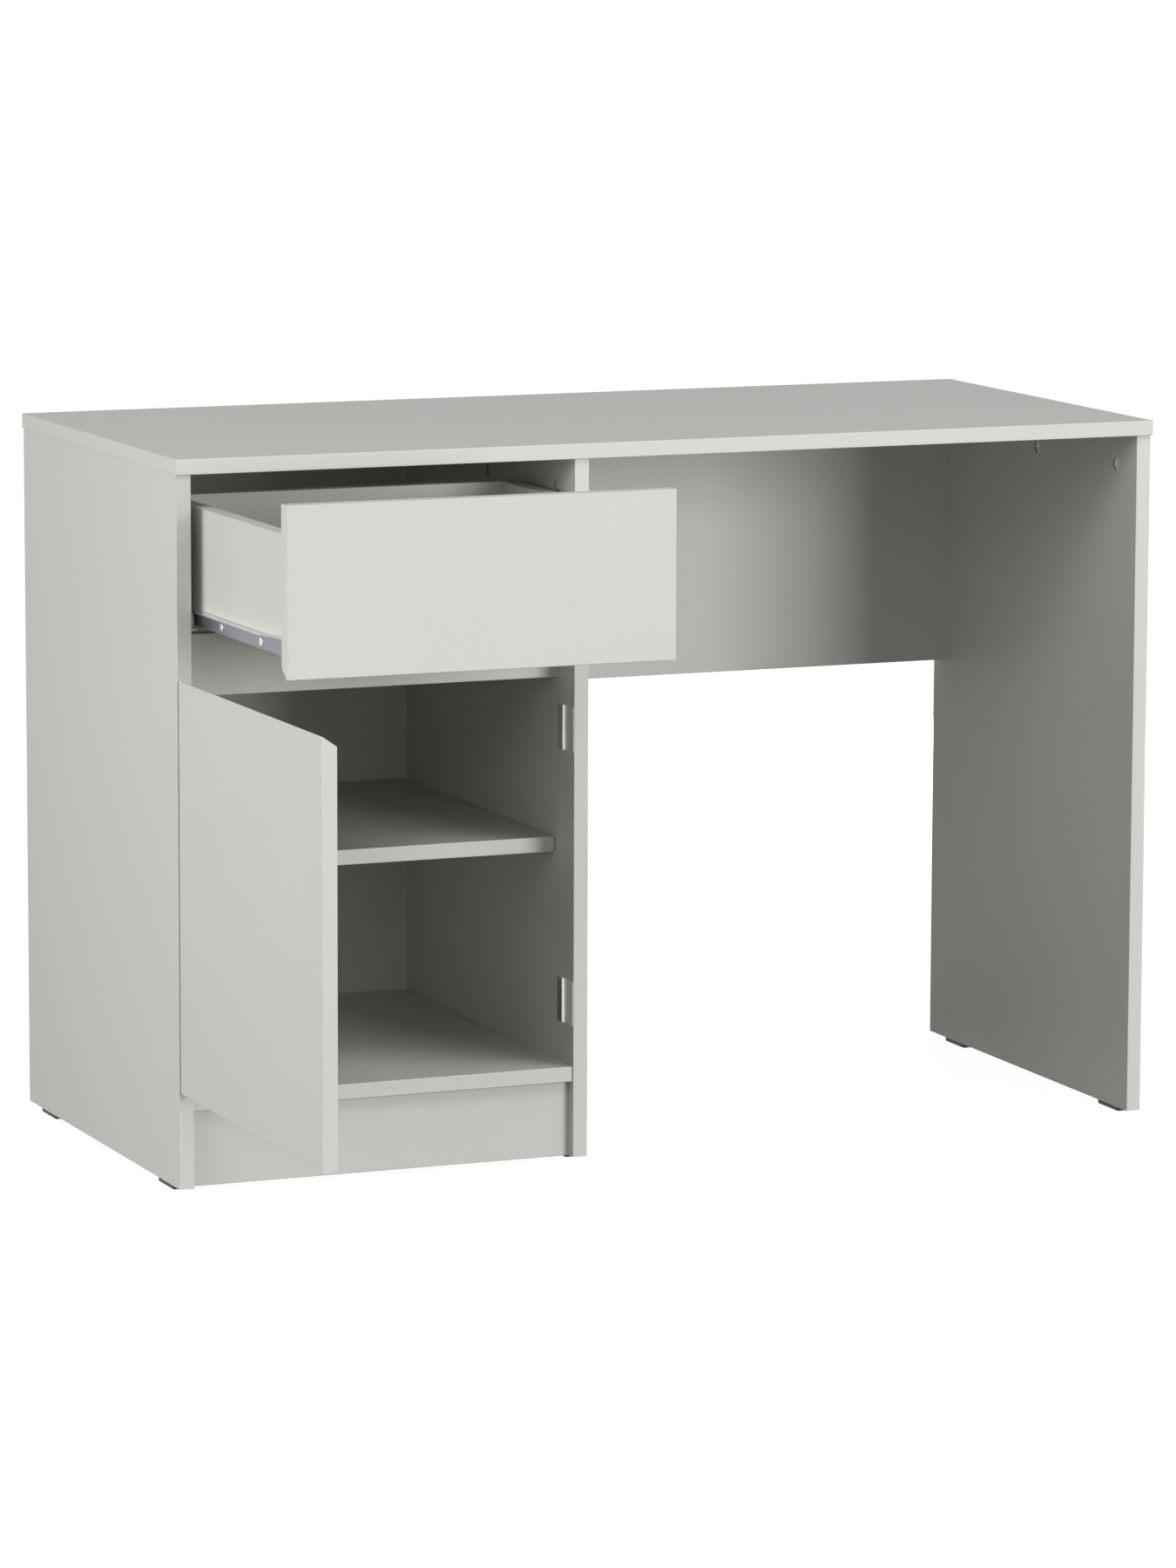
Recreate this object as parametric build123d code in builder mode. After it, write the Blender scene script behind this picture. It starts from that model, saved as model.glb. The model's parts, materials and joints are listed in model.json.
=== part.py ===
from build123d import *
import os

os.makedirs("parts", exist_ok=True)

# Writing desk: a knee space on the right, and on the left a cabinet that holds one drawer
# above one door. Millimetres. X runs along the desk to the right, Y to the rear, Z up.
# The origin is on the floor, at the centre of the box around the desk as it stands here:
# drawer pulled out, door open at a right angle.

# ---------------------------------------------------------------- driving sizes
# Desk as a whole
desk_width = 1100.0
desk_depth = 500.0
desk_height = 754.0
board = 16.0  # thickness of every coated board
edge_radius = 0.8
top_side_overhang = 1.0
top_front_overhang = 4.0
top_rear_overhang = 2.0

# Cabinet and knee space
cabinet_width = 418.0  # clear width between the left and middle panels
plinth_height = 80.0
plinth_recess = 11.0
bottom_recess = 2.0
lower_space_height = 220.0  # clear height under the shelf
shelf_recess = 50.0
shelf_side_gap = 1.0
shelf_rear_gap = 2.0
rail_height = 64.0
rail_recess = 40.0
rail_lap = 7.5  # how far the drawer front laps over the rail
modesty_height = 300.0
modesty_inset = 11.0
back_thickness = 3.0
back_inset = 10.0
groove_depth = 6.0
groove_clearance = 0.1
groove_end_gap = 0.5

# Fronts, both set in between the panels
front_gap = 3.0
door_floor_gap = 4.0  # between the closed door and the bottom panel
drawer_front_height = 172.0
finger_gap = 32.5  # between the closed door and the drawer front, for the fingers
bevel_drop = 11.0  # finger bevel: how much lower or higher the inner face ends
drawer_pull_out = 271.5  # as modelled

# Drawer box
drawer_side_height = 120.0
drawer_bottom_thickness = 3.0
drawer_bottom_rise = 12.0  # from the lower edge of the sides

# Roller runners
runner_length = 400.0
runner_space = 13.0  # between the drawer side and the cabinet wall
runner_gauge = 1.2
runner_rise = 14.6  # cabinet runner above the lower edge of the drawer front
runner_setback = 1.5  # behind the closed drawer front
bend_radius = 0.3  # inside every bend in sheet steel
channel_height = 19.0
channel_floor_width = 10.5
channel_lip_width = 7.0
flange_clearance = 0.4
drawer_runner_height = 16.8
drawer_flange_width = 9.6
flange_lift = 3.5  # how much higher the drawer runner's front end is
flange_lift_rows = (21.0, 72.0)  # start and end of its slope, behind the drawer front
drawer_ledge_width = 14.0
roller_width = 5.4
roller_clearance = 0.3
roller_wall_gap = 3.6  # from the cabinet wall to the roller
roller_end_distance = 9.3
roller_edge_radius = 0.6
roller_pin_radius = 2.0
roller_pin_head_radius = 3.0
roller_pin_head_height = 0.8
roller_pin_collar_radius = 3.4
running_clearance = 0.05
roller_side_clearance = 0.2
channel_lip_start = 22.0  # the lip begins behind the front roller

# Cam joints: a cam in one board draws a bolt that is screwed into the other
cam_bore_radius = 7.5
cam_bore_depth = 12.5
cam_clearance = 0.15
cam_face_inset = 1.2
cam_setback = 35.0  # from the joint to the cam's axis
cam_slot_length = 9.0
cam_slot_width = 1.6
cam_slot_depth = 2.0
cam_channel_radius = 3.8
cam_channel_overrun = 4.0
bolt_bore_radius = 4.0
bolt_thread_radius = 2.5
bolt_grip = 11.0
bolt_collar_radius = 3.6
bolt_collar_height = 2.0
bolt_shank_radius = 2.6
bolt_head_radius = 3.4
bolt_head_height = 3.0
bolt_head_overrun = 1.5
fit_clearance = 0.05
dowel_radius = 4.0
dowel_in_end = 20.0
dowel_in_face = 10.0
dowel_end_gap = 0.5

# Places of the cam joints and dowels
top_cam_rows = (48.0, 237.5)  # behind the panels' front edges, as the other rows are
top_dowel_row = 84.0
top_dowel_rear_inset = 56.0
bottom_cam_row = 60.0
bottom_cam_rear_inset = 94.0
bottom_dowel_row = 230.0
rail_cam_rise = 46.0
rail_dowel_rise = 16.0
plinth_cam_rise = 56.0
plinth_dowel_rise = 24.0
modesty_cam_rises = (50.0, 250.0)
modesty_dowel_rise = 150.0
drawer_cam_rises = (35.0, 90.0)

# Screws and nails
screw_radius = 1.75
screw_head_radius = 4.0
screw_rim_radius = 0.5
screw_head_height = 1.0
screw_length = 14.0
screw_recess_length = 4.0
screw_recess_width = 0.8
screw_recess_depth = 0.6
cabinet_screw_rows = (45.0, 237.0)  # behind the front end of the cabinet runner
cabinet_screw_rear_inset = 35.0
drawer_screw_rows = (82.0, 198.0)  # behind the drawer front
drawer_screw_rear_inset = 60.0
confirmat_head_radius = 4.8
confirmat_head_height = 3.5
confirmat_neck_radius = 3.5
confirmat_thread_radius = 2.5
confirmat_thread_length = 32.0
confirmat_socket = 3.0
confirmat_rises = (45.0, 100.0)
nail_radius = 0.9
nail_head_radius = 2.0
nail_head_height = 0.8
nail_length = 20.0
back_nail_count = 4
back_nail_inset = 20.5  # from the cabinet's walls to the outer nails
drawer_nail_count = 3
drawer_nail_inset = 29.0  # from the ends of the drawer back to the outer nails

# Shelf pins
pin_radius = 2.5
pin_grip = 8.0
pin_plate_length = 9.0
pin_plate_width = 10.0
pin_plate_height = 2.5
pin_row_inset = 40.0  # from the shelf's front and rear edges

# Door hinges, let into the panel's front edge and the door's edge
hinge_pivot_inset = 7.25  # pivot behind the panel's front edge and inside its outer face
hinge_height = 52.0
hinge_rise = 62.5  # lower hinge's middle above the door's lower edge
hinge_drop = 75.0  # upper hinge's middle below the door's upper edge
hinge_cheek_height = 6.0
hinge_wall_room = 3.75  # housing on the outer side of the pivot
hinge_rear_room = 5.25  # housing behind the pivot
hinge_back_thickness = 1.3
knuckle_radius = 3.5
knuckle_end_gap = 0.4
hinge_pin_radius = 1.5
hinge_pin_head_radius = 2.4
hinge_pin_head_height = 1.0
leaf_thickness = 4.0
leaf_plate_width = 12.0
leaf_plate_thickness = 2.0
hinge_screw_radius = 1.4
hinge_screw_head_radius = 2.4
hinge_screw_head_height = 1.2
hinge_screw_length = 20.0
housing_screw_offset = 5.0  # from the pivot towards the opening

# Mounting plates on the middle panel, opposite the hinges
plate_height = 47.0
plate_inset = 1.0
plate_width = 25.0  # from its front edge to the step
plate_gauge = 0.4  # in front of the step
plate_land = 13.0  # behind the step
plate_rise = 2.2  # thickness behind the step
plate_edge_radius = 0.3
plate_peg_radius = 4.0
plate_peg_length = 10.0
plate_peg_spacing = 28.0

# Glides under the panels
glide_height = 5.0
glide_length = 48.0
glide_width = 14.0
glide_front_inset = 24.0
glide_rear_inset = 38.0
glide_corner_radius = 3.0
glide_chamfer = 1.0
glide_nail_spacing = 28.0

# ---------------------------------------------------------------- places worked out
panel_depth = desk_depth - top_front_overhang - top_rear_overhang
panel_top = desk_height - board

left_x = -desk_width / 2 + top_side_overhang
left_wall_x = left_x + board
middle_wall_x = left_wall_x + cabinet_width
knee_left_x = middle_wall_x + board
right_x = desk_width / 2 - top_side_overhang
knee_right_x = right_x - board

# Turned open, the door's hinged edge stands this far in front of the panels.
door_width = cabinet_width - 2 * front_gap
hinge_reach = board + front_gap - hinge_pivot_inset
door_stand_off = hinge_reach - hinge_pivot_inset
front_reach = max(door_stand_off + door_width, drawer_pull_out, top_front_overhang)
rear_reach = panel_depth + top_rear_overhang
front_y = (front_reach - rear_reach) / 2
rear_y = front_y + panel_depth

bottom_z = glide_height + plinth_height
bottom_top_z = bottom_z + board
shelf_z = bottom_top_z + lower_space_height
drawer_front_top_z = panel_top - front_gap
drawer_front_z = drawer_front_top_z - drawer_front_height
rail_top_z = drawer_front_z + rail_lap
rail_z = rail_top_z - rail_height
door_z = bottom_top_z + door_floor_gap
door_top_z = drawer_front_z - finger_gap
modesty_z = panel_top - modesty_height
plinth_y = front_y + plinth_recess
rail_y = front_y + rail_recess
shelf_y = front_y + shelf_recess
modesty_rear_y = rear_y - modesty_inset
modesty_y = modesty_rear_y - board
back_rear_y = rear_y - back_inset
back_y = back_rear_y - back_thickness
bottom_y = front_y + bottom_recess
shelf_rear_y = back_y - shelf_rear_gap

# Runner heights: the drawer's flange rolls on the front roller, and the rear roller on the
# channel's floor. Each roller has the same small clearance above and below.
channel_z = drawer_front_z + runner_rise
channel_floor_z = channel_z + runner_gauge
channel_lip_z = channel_z + channel_height
flange_z = channel_lip_z + flange_clearance
flange_top_z = flange_z + runner_gauge
drawer_runner_z = flange_top_z - drawer_runner_height
drawer_side_z = drawer_runner_z + runner_gauge
drawer_side_top_z = drawer_side_z + drawer_side_height
front_roller_z = (channel_floor_z + flange_z) / 2
front_roller_radius = flange_z - front_roller_z - roller_clearance
under_lip_z = channel_lip_z - runner_gauge
rear_roller_z = (channel_floor_z + under_lip_z) / 2
rear_roller_radius = under_lip_z - rear_roller_z - roller_clearance
runner_screw_z = (drawer_runner_z + flange_top_z) / 2
outer_bend_radius = bend_radius + runner_gauge
runner_y = front_y + board + runner_setback
front_roller_y = runner_y + roller_end_distance

# Drawer, pulled out
drawer_y = front_y - drawer_pull_out
box_y = drawer_y + board
box_rear_y = box_y + runner_length
drawer_back_y = box_rear_y - board
drawer_bottom_z = drawer_side_z + drawer_bottom_rise
drawer_bottom_top_z = drawer_bottom_z + drawer_bottom_thickness
rear_roller_y = box_rear_y - roller_end_distance

# Hinges
pivot_x = left_x + hinge_pivot_inset
pivot_y = front_y + hinge_pivot_inset
housing_x = pivot_x - hinge_wall_room
housing_y = pivot_y + hinge_rear_room
hinge_z = {"lower": door_z + hinge_rise, "upper": door_top_z - hinge_drop}
door_edge_y = pivot_y - hinge_reach
door_tip_y = door_edge_y - door_width

on_line = 0.001  # how far from a line an edge may be and still count as on it
SIDES = ("left", "right")
INWARD = {"left": Vector(1, 0, 0), "right": Vector(-1, 0, 0)}
UP = Vector(0, 0, 1)
DOWN = -UP
REARWARD = Vector(0, 1, 0)
FORWARD = -REARWARD


# ---------------------------------------------------------------- building helpers
def cabinet_x(side, inset):
    """X of a point the given distance into the cabinet from its left or right wall."""
    return left_wall_x + inset if side == "left" else middle_wall_x - inset


def slab(x_span, y_span, z_span, mode=Mode.ADD):
    """Add or cut the box that fills three spans, each given in either order."""
    low, high = zip(*(sorted(span) for span in (x_span, y_span, z_span)))
    size = [end - start for start, end in zip(low, high)]
    with Locations(low):
        Box(*size, align=(Align.MIN, Align.MIN, Align.MIN), mode=mode)


def prism(x_span, outline):
    """Add the prism with the given YZ outline that fills a span along X."""
    start, end = sorted(x_span)
    with BuildSketch(Plane(origin=(start, 0, 0), x_dir=REARWARD, z_dir=INWARD["left"])) as end_face:
        with BuildLine():
            Polyline(outline, close=True)
        make_face()
    extrude(end_face.sketch, amount=end - start)


def bend(points, radius):
    """Round the edges that lie on the line through the given points."""
    line = Wire.make_polygon(points, close=False)
    fillet([edge for edge in edges() if line.distance_to(edge @ 0.5) < on_line], radius)


def around(middle, size):
    """The span of the given size around a middle value."""
    return middle - size / 2, middle + size / 2


def rod(radius, start, end, mode=Mode.ADD):
    """Add or cut a cylinder along the local Z axis from start to end."""
    with Locations((0, 0, start)):
        Cylinder(radius, end - start, align=(Align.CENTER, Align.CENTER, Align.MIN), mode=mode)


def frame_at(point, out, across=None):
    """A plane at a point whose Z axis points out of the material."""
    return Plane(origin=point, x_dir=across, z_dir=out)


def save(piece, name):
    """Name one finished piece and write it as its own file."""
    piece.label = name
    export_step(piece, f"parts/{name}.step")


# ---------------------------------------------------------------- joint frames
# A cam joint's frame stands on the joint face: Z points into the board that holds the bolt,
# X out of the cam's mouth.
def side_ends(x_left, x_right):
    """The two ends of a board that spans between two panels, with the way out of each."""
    return ((x_left, -INWARD["left"]), (x_right, -INWARD["right"]))


def top_joints(panel_x, mouth):
    """Cam joints between one upright panel and the worktop."""
    middle_x = panel_x + board / 2
    return [frame_at((middle_x, front_y + row, panel_top), UP, mouth) for row in top_cam_rows]


def bottom_joints(side_index):
    """Cam joints at one end of the cabinet's bottom panel."""
    x, out = side_ends(left_wall_x, middle_wall_x)[side_index]
    rows = (front_y + bottom_cam_row, rear_y - bottom_cam_rear_inset)
    return [frame_at((x, y, bottom_z + board / 2), out, DOWN) for y in rows]


def rail_joints(side_index):
    """Cam joint at one end of the rail under the drawer."""
    x, out = side_ends(left_wall_x, middle_wall_x)[side_index]
    return [frame_at((x, rail_y + board / 2, rail_z + rail_cam_rise), out, REARWARD)]


def plinth_joints(side_index):
    """Cam joint at one end of the plinth board."""
    x, out = side_ends(left_wall_x, middle_wall_x)[side_index]
    return [frame_at((x, plinth_y + board / 2, glide_height + plinth_cam_rise), out, REARWARD)]


def modesty_joints(side_index):
    """Cam joints at one end of the modesty panel."""
    x, out = side_ends(knee_left_x, knee_right_x)[side_index]
    y = modesty_y + board / 2
    return [frame_at((x, y, modesty_z + rise), out, REARWARD) for rise in modesty_cam_rises]


def drawer_joints(side):
    """Cam joints between one drawer side and the drawer front."""
    x = cabinet_x(side, runner_space + board / 2)
    heights = [drawer_side_z + rise for rise in drawer_cam_rises]
    return [frame_at((x, box_y, z), FORWARD, INWARD[side]) for z in heights]


def top_dowels(panel_x):
    """Dowel frames between one upright panel and the worktop."""
    middle_x = panel_x + board / 2
    rows = (front_y + top_dowel_row, rear_y - top_dowel_rear_inset)
    return [frame_at((middle_x, y, panel_top), UP) for y in rows]


def bottom_dowels(side_index):
    """Dowel frame at one end of the bottom panel."""
    x, out = side_ends(left_wall_x, middle_wall_x)[side_index]
    return [frame_at((x, front_y + bottom_dowel_row, bottom_z + board / 2), out)]


def rail_dowels(side_index):
    """Dowel frame at one end of the rail."""
    x, out = side_ends(left_wall_x, middle_wall_x)[side_index]
    return [frame_at((x, rail_y + board / 2, rail_z + rail_dowel_rise), out)]


def plinth_dowels(side_index):
    """Dowel frame at one end of the plinth board."""
    x, out = side_ends(left_wall_x, middle_wall_x)[side_index]
    return [frame_at((x, plinth_y + board / 2, glide_height + plinth_dowel_rise), out)]


def modesty_dowels(side_index):
    """Dowel frame at one end of the modesty panel."""
    x, out = side_ends(knee_left_x, knee_right_x)[side_index]
    return [frame_at((x, modesty_y + board / 2, modesty_z + modesty_dowel_rise), out)]


def cabinet_joints(side_index):
    """Every cam joint that ends on one wall of the cabinet."""
    return bottom_joints(side_index) + rail_joints(side_index) + plinth_joints(side_index)


def cabinet_dowels(side_index):
    """Every dowel that ends in one wall of the cabinet."""
    return bottom_dowels(side_index) + rail_dowels(side_index) + plinth_dowels(side_index)


def cam_mouth(joint):
    """The frame of a cam: on the board's face, Z out of the mouth, X towards the bolt."""
    origin = joint.origin - joint.z_dir * cam_setback + joint.x_dir * (board / 2)
    return Plane(origin=origin, x_dir=joint.z_dir, z_dir=joint.x_dir)


def cut_cam_seats(joints):
    """Bore the cam pockets and the bolts' holes in the board that holds the cams."""
    with Locations([cam_mouth(joint) for joint in joints]):
        Hole(cam_bore_radius, cam_bore_depth)
    with Locations(joints):
        rod(bolt_bore_radius, -cam_setback, 0, mode=Mode.SUBTRACT)


def cut_bolt_holes(joints):
    """Drill the holes in the board that the bolts are screwed into."""
    with Locations(joints):
        rod(bolt_thread_radius, 0, bolt_grip, mode=Mode.SUBTRACT)


def cut_dowel_holes(dowels, into_end):
    """Drill dowel holes in a board's end, or in the face that the end meets."""
    with Locations(dowels):
        if into_end:
            rod(dowel_radius, -dowel_in_end - dowel_end_gap, 0, mode=Mode.SUBTRACT)
        else:
            rod(dowel_radius, 0, dowel_in_face + dowel_end_gap, mode=Mode.SUBTRACT)


# ---------------------------------------------------------------- fasteners
def cams(joints):
    """Cam discs with a cross slot and a side opening for the bolt's head."""
    top = -cam_face_inset
    with BuildPart() as group:
        with Locations([cam_mouth(joint) for joint in joints]):
            rod(cam_bore_radius - cam_clearance, -cam_bore_depth, top)
            with Locations((0, 0, top)):
                Box(cam_slot_length, cam_slot_width, 2 * cam_slot_depth, mode=Mode.SUBTRACT)
                Box(cam_slot_width, cam_slot_length, 2 * cam_slot_depth, mode=Mode.SUBTRACT)
            with Locations(Location((0, 0, -board / 2), (0, 90, 0))):
                rod(cam_channel_radius, -cam_channel_overrun, cam_bore_radius, Mode.SUBTRACT)
    return group.part


def bolts(joints):
    """Cam bolts: thread, collar on the joint face, shank and head inside the cam."""
    head_end = -cam_setback - bolt_head_overrun
    with BuildPart() as group:
        with Locations(joints):
            rod(bolt_thread_radius - fit_clearance, 0, bolt_grip)
            rod(bolt_collar_radius, -bolt_collar_height, 0)
            rod(bolt_shank_radius, head_end, 0)
            rod(bolt_head_radius, head_end, head_end + bolt_head_height)
    return group.part


def dowels(frames):
    """Plain wooden dowels."""
    with BuildPart() as group:
        with Locations(frames):
            rod(dowel_radius - fit_clearance, -dowel_in_end, dowel_in_face)
    return group.part


def screws(frames, shank_radius, head_radius, head_height, length, sunk=0.0):
    """Cross-head screws: the head stands on the frame's plane, or is sunk below it."""
    with BuildPart() as screw:
        rod(shank_radius, -length, -sunk)
        rod(head_radius, -sunk, head_height - sunk)
        fillet(edges().sort_by(Axis.Z)[-1], screw_rim_radius)
        with Locations((0, 0, head_height - sunk)):
            slot = (screw_recess_length * head_radius / screw_head_radius, screw_recess_width)
            Box(*slot, 2 * screw_recess_depth, mode=Mode.SUBTRACT)
            Box(*reversed(slot), 2 * screw_recess_depth, mode=Mode.SUBTRACT)
    with BuildPart() as group:
        with Locations(frames):
            add(screw.part)
    return group.part


def nails(frames):
    """Round-headed nails, sunk so that the head ends flush."""
    with BuildPart() as group:
        with Locations(frames):
            rod(nail_radius, -nail_length, 0)
            rod(nail_head_radius, -nail_head_height, 0)
    return group.part


def cut_nail_seats(frames, depth=nail_length):
    """Cut the seats of sunk nails and the holes that their shanks fill."""
    with Locations(frames):
        rod(nail_head_radius + fit_clearance, -nail_head_height, 0, mode=Mode.SUBTRACT)
        rod(nail_radius + fit_clearance, -depth, 0, mode=Mode.SUBTRACT)


def cut_screw_holes(frames, shank_radius, length):
    """Drill the holes of a group of screws through whatever they cross."""
    with Locations(frames):
        rod(shank_radius + fit_clearance, -length, 0, mode=Mode.SUBTRACT)


# ---------------------------------------------------------------- frames of screws and nails
def cabinet_runner_screws(side):
    """Screws through the cabinet runner's web, heads inside the channel."""
    x = cabinet_x(side, runner_gauge)
    rows = (*cabinet_screw_rows, runner_length - cabinet_screw_rear_inset)
    return [frame_at((x, runner_y + row, runner_screw_z), INWARD[side]) for row in rows]


def drawer_runner_screws(side):
    """Screws through the drawer runner's web into the drawer side."""
    x = cabinet_x(side, runner_space - runner_gauge)
    rows = (*drawer_screw_rows, runner_length - drawer_screw_rear_inset)
    return [frame_at((x, box_y + row, runner_screw_z), -INWARD[side]) for row in rows]


def confirmat_frames(side):
    """Long screws through one drawer side into the drawer back."""
    x = cabinet_x(side, runner_space)
    y = drawer_back_y + board / 2
    return [frame_at((x, y, drawer_side_z + rise), -INWARD[side]) for rise in confirmat_rises]


def evenly(count, start, end):
    """Places of evenly spaced fasteners, with the outer ones on the span's ends."""
    step = (end - start) / (count - 1)
    return [start + index * step for index in range(count)]


def back_nails():
    """Nails through the cabinet back into the bottom panel's rear edge."""
    ends = (cabinet_x(side, back_nail_inset) for side in SIDES)
    z = bottom_z + board / 2
    return [frame_at((x, back_rear_y, z), REARWARD) for x in evenly(back_nail_count, *ends)]


def drawer_nails():
    """Nails through the drawer bottom into the lower edge of the drawer back."""
    ends = (cabinet_x(side, runner_space + board + drawer_nail_inset) for side in SIDES)
    y = drawer_back_y + board / 2
    return [frame_at((x, y, drawer_bottom_z), DOWN) for x in evenly(drawer_nail_count, *ends)]


def glide_places():
    """Name and lowest Y of each glide, with the panel that it is nailed to."""
    rows = {
        "front": front_y + glide_front_inset,
        "rear": rear_y - glide_rear_inset - glide_length,
    }
    panels = {"left": left_x, "middle": middle_wall_x, "right": knee_right_x}
    return [(f"{row}_{panel}_glide", x, y) for panel, x in panels.items() for row, y in rows.items()]


def glide_nails(panel_x, glide_y):
    """Nails up through one glide into the panel's lower edge, heads sunk in the glide."""
    x = panel_x + board / 2
    y = glide_y + glide_length / 2
    z = glide_height / 2
    return [frame_at((x, nail_y, z), DOWN) for nail_y in around(y, glide_nail_spacing)]


def hinge_pin_frame(level):
    """The frame on the pivot at one hinge's middle height."""
    return frame_at((pivot_x, pivot_y, hinge_z[level]), UP)


def cheek_heights(level):
    """Middle heights of a hinge housing's two cheeks."""
    offset = (hinge_height - hinge_cheek_height) / 2
    return [hinge_z[level] - offset, hinge_z[level] + offset]


def housing_screws(level):
    """Screws through the housing's cheeks into the panel's front edge."""
    x = pivot_x + housing_screw_offset
    return [frame_at((x, front_y, z), FORWARD) for z in cheek_heights(level)]


def leaf_screws(level):
    """Screws through the leaf's plate into the door's edge."""
    return [frame_at((pivot_x, door_edge_y, z), REARWARD) for z in cheek_heights(level)]


def plate_pegs(level):
    """The two pegs that hold one mounting plate on the middle panel."""
    y = front_y + plate_inset + plate_width / 2
    heights = around(hinge_z[level], plate_peg_spacing)
    return [frame_at((middle_wall_x, y, z), INWARD["right"]) for z in heights]


# ---------------------------------------------------------------- upright panels and worktop
def panel_blank(x):
    """An upright panel with its front and rear edges rounded."""
    slab((x, x + board), (front_y, rear_y), (glide_height, panel_top))
    fillet(edges().filter_by(Axis.Z), edge_radius)


def cut_panel_top(x, mouth):
    """The worktop's cam seats and dowel holes in one upright panel."""
    cut_cam_seats(top_joints(x, mouth))
    cut_dowel_holes(top_dowels(x), into_end=True)


def cut_glide_nail_holes(panel_x):
    """Nail holes for the two glides under one panel."""
    for _, x, y in glide_places():
        if x == panel_x:
            with Locations(glide_nails(x, y)):
                rod(nail_radius + fit_clearance, -nail_length, 0, mode=Mode.SUBTRACT)


def cut_back_groove(side):
    """The groove for the cabinet's back panel, over the whole height of a panel."""
    slab(
        (cabinet_x(side, 0), cabinet_x(side, -groove_depth)),
        (back_y - groove_clearance, back_rear_y + groove_clearance),
        (glide_height, panel_top),
        mode=Mode.SUBTRACT,
    )


def cut_cabinet_wall(side):
    """What both walls of the cabinet share: joints, groove, runner screws and shelf pins."""
    side_index = SIDES.index(side)
    cut_bolt_holes(cabinet_joints(side_index))
    cut_dowel_holes(cabinet_dowels(side_index), into_end=False)
    cut_back_groove(side)
    cut_screw_holes(cabinet_runner_screws(side), screw_radius, screw_length)
    with Locations(pin_frames(side)):
        rod(pin_radius + fit_clearance, -pin_grip - groove_end_gap, 0, mode=Mode.SUBTRACT)


def pin_frames(side):
    """Frames of one wall's shelf pins, on the wall just under the shelf."""
    rows = (shelf_y + pin_row_inset, shelf_rear_y - pin_row_inset)
    return [frame_at((cabinet_x(side, 0), y, shelf_z - pin_radius), INWARD[side]) for y in rows]


with BuildPart() as left_side_panel:
    panel_blank(left_x)
    cut_panel_top(left_x, INWARD["left"])
    cut_glide_nail_holes(left_x)
    cut_cabinet_wall("left")
    for level in hinge_z:
        slab(
            (housing_x, left_wall_x),
            (front_y, housing_y),
            around(hinge_z[level], hinge_height),
            mode=Mode.SUBTRACT,
        )
        cut_screw_holes(housing_screws(level), hinge_screw_radius, hinge_screw_length)

with BuildPart() as middle_side_panel:
    panel_blank(middle_wall_x)
    cut_panel_top(middle_wall_x, INWARD["right"])
    cut_glide_nail_holes(middle_wall_x)
    cut_cabinet_wall("right")
    cut_bolt_holes(modesty_joints(0))
    cut_dowel_holes(modesty_dowels(0), into_end=False)
    for level in hinge_z:
        with Locations(plate_pegs(level)):
            rod(plate_peg_radius + fit_clearance, -plate_peg_length, 0, mode=Mode.SUBTRACT)

with BuildPart() as right_side_panel:
    panel_blank(knee_right_x)
    cut_panel_top(knee_right_x, INWARD["right"])
    cut_glide_nail_holes(knee_right_x)
    cut_bolt_holes(modesty_joints(1))
    cut_dowel_holes(modesty_dowels(1), into_end=False)

top_joint_frames = (
    top_joints(left_x, INWARD["left"])
    + top_joints(middle_wall_x, INWARD["right"])
    + top_joints(knee_right_x, INWARD["right"])
)
top_dowel_frames = top_dowels(left_x) + top_dowels(middle_wall_x) + top_dowels(knee_right_x)

with BuildPart() as worktop:
    slab(
        around(0, desk_width),
        (front_y - top_front_overhang, rear_y + top_rear_overhang),
        (panel_top, desk_height),
    )
    fillet(edges(), edge_radius)
    cut_bolt_holes(top_joint_frames)
    cut_dowel_holes(top_dowel_frames, into_end=False)

# ---------------------------------------------------------------- boards between the panels
with BuildPart() as bottom_panel:
    slab((left_wall_x, middle_wall_x), (bottom_y, back_y), (bottom_z, bottom_top_z))
    fillet(edges().filter_by(Axis.X).group_by(Axis.Y)[0], edge_radius)
    for end in range(len(SIDES)):
        cut_cam_seats(bottom_joints(end))
        cut_dowel_holes(bottom_dowels(end), into_end=True)
    with Locations(back_nails()):
        rod(nail_radius + fit_clearance, -nail_length, 0, mode=Mode.SUBTRACT)

with BuildPart() as plinth_board:
    slab((left_wall_x, middle_wall_x), (plinth_y, plinth_y + board), (glide_height, bottom_z))
    fillet(edges().filter_by(Axis.X).group_by(Axis.Z)[0], edge_radius)
    for end in range(len(SIDES)):
        cut_cam_seats(plinth_joints(end))
        cut_dowel_holes(plinth_dowels(end), into_end=True)

with BuildPart() as front_rail:
    slab((left_wall_x, middle_wall_x), (rail_y, rail_y + board), (rail_z, rail_top_z))
    fillet(edges().filter_by(Axis.X), edge_radius)
    for end in range(len(SIDES)):
        cut_cam_seats(rail_joints(end))
        cut_dowel_holes(rail_dowels(end), into_end=True)

with BuildPart() as modesty_panel:
    slab((knee_left_x, knee_right_x), (modesty_y, modesty_rear_y), (modesty_z, panel_top))
    fillet(edges().filter_by(Axis.X).group_by(Axis.Z)[0], edge_radius)
    for end in range(len(SIDES)):
        cut_cam_seats(modesty_joints(end))
        cut_dowel_holes(modesty_dowels(end), into_end=True)

with BuildPart() as shelf:
    slab(
        (left_wall_x + shelf_side_gap, middle_wall_x - shelf_side_gap),
        (shelf_y, shelf_rear_y),
        (shelf_z, shelf_z + board),
    )
    fillet(edges().filter_by(Axis.X).group_by(Axis.Y)[0], edge_radius)

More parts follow.
